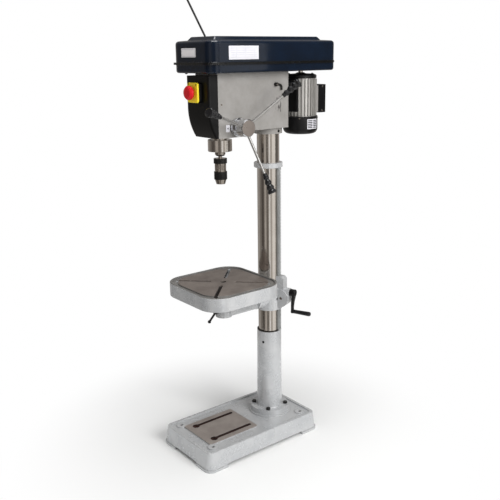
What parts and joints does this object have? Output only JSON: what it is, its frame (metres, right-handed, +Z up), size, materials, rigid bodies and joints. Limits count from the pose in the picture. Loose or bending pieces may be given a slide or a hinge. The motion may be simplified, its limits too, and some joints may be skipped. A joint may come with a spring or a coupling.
{
  "type": "pillar drill",
  "caption": "Floor-standing pillar drill: cast base, steel column with rack, geared tilting table, belt-driven head with lever feed, keyless chuck and rear motor.",
  "frame": {"origin": "on the floor, at the centre of the four floor-bolt holes in the base", "axes": "+Z up, -Y towards the operator, +X on the operator's right (feed levers)"},
  "size_m": [0.41, 0.7425, 1.8911],
  "materials": {
    "painted_iron": "satin silver-grey paint on cast iron",
    "machined_iron": "ground iron top, painted sides",
    "head_paint": "satin warm grey paint on cast iron",
    "polished_steel": "ground and polished",
    "chuck_steel": "turned",
    "black_oxide": "black oxide",
    "chrome_plate": "bright chrome",
    "depth_ring_paint": "machined",
    "black_paint": "semi-gloss black",
    "black_plastic": "moulded",
    "switch_black": "moulded",
    "switch_yellow": "moulded",
    "stop_red": "moulded",
    "start_green": "moulded",
    "guard_paint": "gloss dark blue paint on steel sheet",
    "motor_aluminium": "as cast",
    "pulley_aluminium": "turned",
    "belt_rubber": "matt",
    "cord_rubber": "matt"
  },
  "bodies": {
    "stand": {"base_casting": "painted_iron", "pedestal": "painted_iron", "pedestal_bolts": "polished_steel", "column": "polished_steel", "rack_ring": "painted_iron", "head_casting": "head_paint", "front_cover": "black_plastic", "switch_box": "switch_black", "guard_tray": "guard_paint", "lid_hinge_pins": "polished_steel", "spring_housing": "black_paint", "return_spring": "polished_steel", "sleeve_bearings": "polished_steel", "idler_post": "polished_steel", "drive_belts": "belt_rubber", "cable_gland": "black_plastic", "mains_cord": "cord_rubber", "cord_hanger": "black_plastic"},
    "rack": {"rack": "polished_steel"},
    "bracket": {"table_bracket": "painted_iron", "tilt_bolt": "polished_steel"},
    "lift_gear": {"lift_gear": "polished_steel"},
    "crank": {"worm_shaft": "polished_steel", "crank_arm": "black_paint"},
    "crank_handle": {"crank_handle": "black_plastic"},
    "column_clamp": {"column_clamp_lever": "black_oxide"},
    "arm": {"table_arm": "painted_iron"},
    "table_clamp": {"table_clamp_lever": "black_oxide"},
    "table": {"table": "machined_iron"},
    "quill": {"quill": "polished_steel", "quill_bearings": "polished_steel"},
    "spindle": {"spindle": "polished_steel", "chuck_arbor": "polished_steel", "chuck_body": "chuck_steel", "chuck_ring": "black_oxide"},
    "chuck_sleeve": {"chuck_sleeve": "black_oxide"},
    "jaw_1": {"chuck_jaw_1": "chuck_steel"},
    "jaw_2": {"chuck_jaw_2": "chuck_steel"},
    "jaw_3": {"chuck_jaw_3": "chuck_steel"},
    "feed": {"feed_shaft": "polished_steel", "depth_ring": "depth_ring_paint", "feed_hub": "chrome_plate", "feed_levers": "chrome_plate", "feed_grips": "black_plastic"},
    "spindle_drive": {"drive_sleeve": "polished_steel", "spindle_pulley": "pulley_aluminium"},
    "idler": {"idler_pulley": "pulley_aluminium"},
    "motor": {"motor_bracket": "black_paint", "motor_frame": "motor_aluminium", "motor_end_cap": "black_paint", "motor_fan_cover": "black_paint", "terminal_box": "black_plastic"},
    "rotor": {"motor_rotor": "polished_steel", "motor_pulley": "pulley_aluminium"},
    "lid": {"guard_lid": "guard_paint"},
    "flap": {"switch_flap": "switch_yellow"},
    "stop": {"stop_button": "stop_red"},
    "start": {"start_button": "start_green"},
    "motor_lock": {"tension_lock_lever": "black_oxide"}
  },
  "joints": [
    {"name": "table_swing", "type": "hinge", "parent": "stand", "child": "rack", "pos_m": [0, 0.16, 0.6], "axis": [0, 0, 1], "range_deg": [-180, 180]},
    {"name": "table_lift", "type": "slide", "parent": "rack", "child": "bracket", "axis": [0, 0, 1], "range_m": [-0.09, 0.3]},
    {"name": "crank_turn", "type": "hinge", "parent": "bracket", "child": "crank", "pos_m": [0.10199, 0.20121, 0.638], "axis": [0.9272, 0.3746, 0], "range_deg": [-5177, 17209]},
    {"name": "lift_gear_turn", "type": "hinge", "parent": "bracket", "child": "lift_gear", "pos_m": [0.06351, 0.18566, 0.612], "axis": [-0.3746, 0.9272, 0], "range_deg": [-1075, 323]},
    {"name": "handle_spin", "type": "hinge", "parent": "crank", "child": "crank_handle", "pos_m": [0.13908, 0.21619, 0.555], "axis": [0.9272, 0.3746, 0], "continuous": true},
    {"name": "column_clamp_turn", "type": "hinge", "parent": "bracket", "child": "column_clamp", "pos_m": [-0.072, 0.183, 0.606], "axis": [0, 1, 0], "range_deg": [-45, 75]},
    {"name": "table_tilt", "type": "hinge", "parent": "bracket", "child": "arm", "pos_m": [0, 0.092, 0.612], "axis": [0, 1, 0], "range_deg": [-45, 45]},
    {"name": "table_clamp_turn", "type": "hinge", "parent": "arm", "child": "table_clamp", "pos_m": [0, -0.123, 0.598], "axis": [0, 1, 0], "range_deg": [-45, 45]},
    {"name": "table_turn", "type": "hinge", "parent": "arm", "child": "table", "pos_m": [0, -0.082, 0.65], "axis": [0, 0, 1], "range_deg": [-15, 15]},
    {"name": "feed_turn", "type": "hinge", "parent": "stand", "child": "feed", "pos_m": [0.1, -0.049, 1.346], "axis": [1, 0, 0], "range_deg": [0, 405.8], "stiffness_Nm_per_rad": 0.08, "springref_deg": -1145.92},
    {"name": "quill_travel", "type": "slide", "parent": "stand", "child": "quill", "axis": [0, 0, -1], "range_m": [0, 0.085]},
    {"name": "motor_spin", "type": "hinge", "parent": "motor", "child": "rotor", "pos_m": [0, 0.336, 1.45], "axis": [0, 0, 1], "continuous": true},
    {"name": "spindle_spin", "type": "hinge", "parent": "quill", "child": "spindle", "pos_m": [0, -0.082, 1.3], "axis": [0, 0, 1], "continuous": true},
    {"name": "spindle_pulley_spin", "type": "hinge", "parent": "stand", "child": "spindle_drive", "pos_m": [0, -0.082, 1.59], "axis": [0, 0, 1], "continuous": true},
    {"name": "idler_spin", "type": "hinge", "parent": "stand", "child": "idler", "pos_m": [0, 0.128, 1.59], "axis": [0, 0, 1], "continuous": true},
    {"name": "chuck_sleeve_turn", "type": "hinge", "parent": "spindle", "child": "chuck_sleeve", "pos_m": [0, -0.082, 1.157], "axis": [0, 0, 1], "range_deg": [0, 900]},
    {"name": "jaw_1_slide", "type": "slide", "parent": "spindle", "child": "jaw_1", "axis": [0.2241, 0.1294, 0.9659], "range_m": [0, 0.02]},
    {"name": "jaw_2_slide", "type": "slide", "parent": "spindle", "child": "jaw_2", "axis": [-0.2241, 0.1294, 0.9659], "range_m": [0, 0.02]},
    {"name": "jaw_3_slide", "type": "slide", "parent": "spindle", "child": "jaw_3", "axis": [0, -0.2588, 0.9659], "range_m": [0, 0.02]},
    {"name": "motor_slide", "type": "slide", "parent": "stand", "child": "motor", "axis": [0, 1, 0], "range_m": [-0.025, 0]},
    {"name": "motor_lock_turn", "type": "hinge", "parent": "stand", "child": "motor_lock", "pos_m": [0.078, 0.139, 1.498], "axis": [1, 0, 0], "range_deg": [-40, 40]},
    {"name": "lid_open", "type": "hinge", "parent": "stand", "child": "lid", "pos_m": [0, 0.4174, 1.581], "axis": [-1, 0, 0], "range_deg": [0, 95]},
    {"name": "flap_open", "type": "hinge", "parent": "stand", "child": "flap", "pos_m": [-0.002, -0.1968, 1.5105], "axis": [-1, 0, 0], "range_deg": [0, 90]},
    {"name": "stop_press", "type": "slide", "parent": "flap", "child": "stop", "axis": [0, 1, 0], "range_m": [0, 0.004], "stiffness_N_per_m": 500, "springref_m": -0.002},
    {"name": "start_press", "type": "slide", "parent": "stand", "child": "start", "axis": [0, 1, 0], "range_m": [0, 0.003], "stiffness_N_per_m": 500, "springref_m": -0.002}
  ],
  "couplings": [
    {"joint": "crank_turn", "follows": "table_lift", "rad_per_m": 1000},
    {"joint": "lift_gear_turn", "follows": "table_lift", "rad_per_m": -62.5},
    {"joint": "quill_travel", "follows": "feed_turn", "m_per_rad": 0.012},
    {"joint": "spindle_spin", "follows": "motor_spin", "ratio": 0.4},
    {"joint": "spindle_pulley_spin", "follows": "motor_spin", "ratio": 0.4},
    {"joint": "idler_spin", "follows": "motor_spin", "ratio": 0.5},
    {"joint": "jaw_1_slide", "follows": "chuck_sleeve_turn", "m_per_rad": 0.00127},
    {"joint": "jaw_2_slide", "follows": "chuck_sleeve_turn", "m_per_rad": 0.00127},
    {"joint": "jaw_3_slide", "follows": "chuck_sleeve_turn", "m_per_rad": 0.00127}
  ]
}
